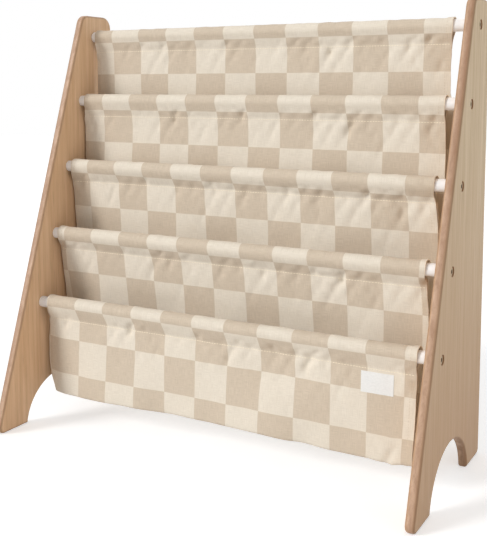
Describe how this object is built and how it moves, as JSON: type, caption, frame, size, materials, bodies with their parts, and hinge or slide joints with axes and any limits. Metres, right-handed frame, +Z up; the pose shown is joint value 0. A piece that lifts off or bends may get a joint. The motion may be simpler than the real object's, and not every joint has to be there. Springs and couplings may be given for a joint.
{
  "type": "sling bookshelf",
  "caption": "Free-standing sling bookshelf for a child's room: sloping wooden side panels, bolted cross rods and a checked cloth sling sewn into tiered book pockets.",
  "frame": {"origin": "on the floor, midway between the outer faces of the side panels and midway from toe to heel", "axes": "+X to the right-hand panel as seen from the front, +Y to the back, +Z up"},
  "size_m": [0.618, 0.269, 0.6],
  "materials": {
    "panel_wood": "matt oak veneer",
    "rod_coating": "gloss white plastic coating on steel tube",
    "plug_plastic": "grey nylon with a threaded bore",
    "bolt_steel": "dark oxide",
    "sling_fabric": "woven cream and beige checks",
    "label_fabric": "plain white woven tape"
  },
  "bodies": {
    "root": {"left_side_panel": "panel_wood", "right_side_panel": "panel_wood", "rod_1": "rod_coating", "rod_2": "rod_coating", "rod_3": "rod_coating", "rod_4": "rod_coating", "rod_5": "rod_coating", "left_plug_1": "plug_plastic", "left_plug_2": "plug_plastic", "left_plug_3": "plug_plastic", "left_plug_4": "plug_plastic", "left_plug_5": "plug_plastic", "right_plug_1": "plug_plastic", "right_plug_2": "plug_plastic", "right_plug_3": "plug_plastic", "right_plug_4": "plug_plastic", "right_plug_5": "plug_plastic", "left_bolt_1": "bolt_steel", "left_bolt_2": "bolt_steel", "left_bolt_3": "bolt_steel", "left_bolt_4": "bolt_steel", "left_bolt_5": "bolt_steel", "right_bolt_1": "bolt_steel", "right_bolt_2": "bolt_steel", "right_bolt_3": "bolt_steel", "right_bolt_4": "bolt_steel", "right_bolt_5": "bolt_steel", "sling_cloth_1": "sling_fabric", "sling_cloth_2": "sling_fabric", "sling_cloth_3": "sling_fabric", "sling_cloth_4": "sling_fabric", "sling_cloth_5": "sling_fabric", "blank_label": "label_fabric"}
  },
  "joints": []
}
